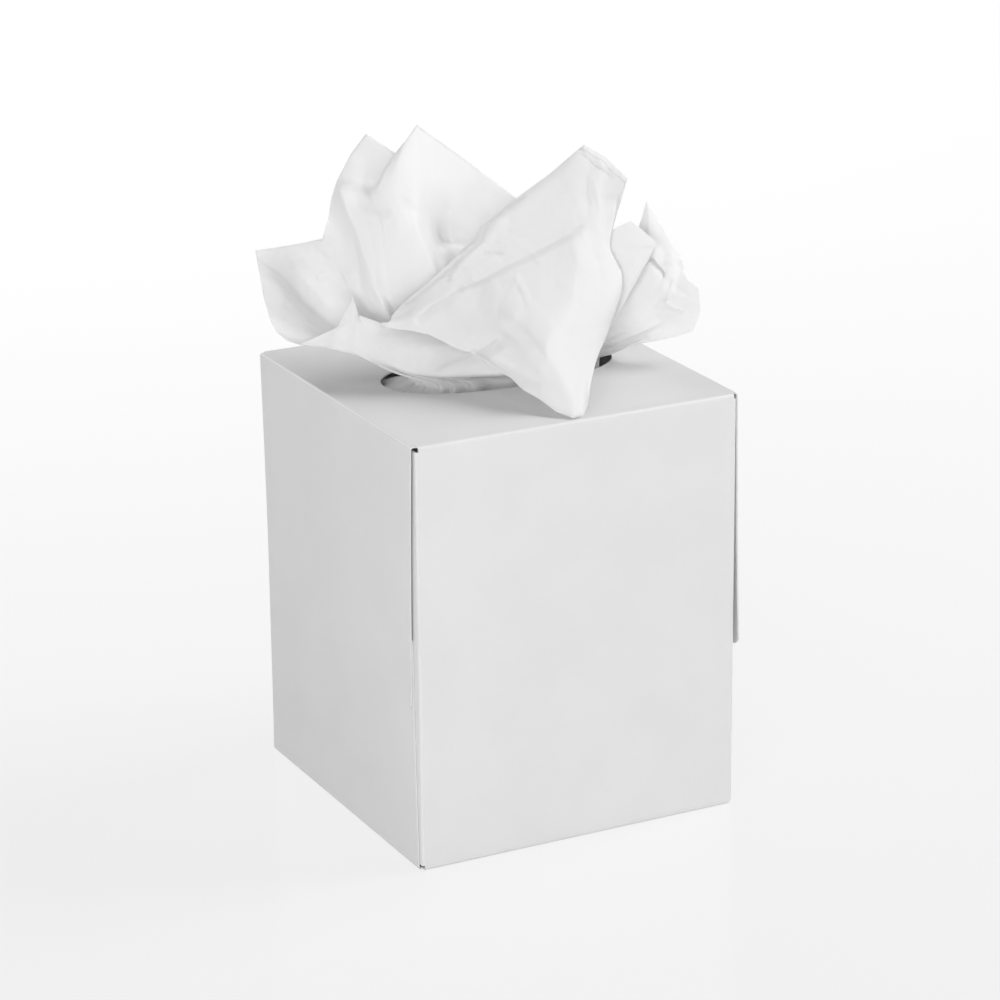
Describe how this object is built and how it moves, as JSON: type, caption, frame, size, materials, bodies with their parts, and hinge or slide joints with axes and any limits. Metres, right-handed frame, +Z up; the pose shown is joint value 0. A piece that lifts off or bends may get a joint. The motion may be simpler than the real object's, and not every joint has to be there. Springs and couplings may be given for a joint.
{
  "type": "tissue box",
  "caption": "Upright square carton of folded board with an oval opening in its top, an arched pad of tissues inside and two drawn tissues standing up out of the opening.",
  "frame": {"origin": "centre of the carton's base, on the surface it stands on", "axes": "+Z up, -Y out of the front panel, X across it towards the two ends that the flaps close"},
  "size_m": [0.126, 0.1102, 0.2079],
  "materials": {
    "white_board": "white coated paperboard with a faint sheen, bare cut edges",
    "tissue": "white two-ply tissue paper, thin, soft and matt, with crisp folds"
  },
  "bodies": {
    "root": {"carton": "white_board", "tissue_stack": "tissue", "rear_tissue": "tissue", "front_tissue": "tissue"}
  },
  "joints": []
}
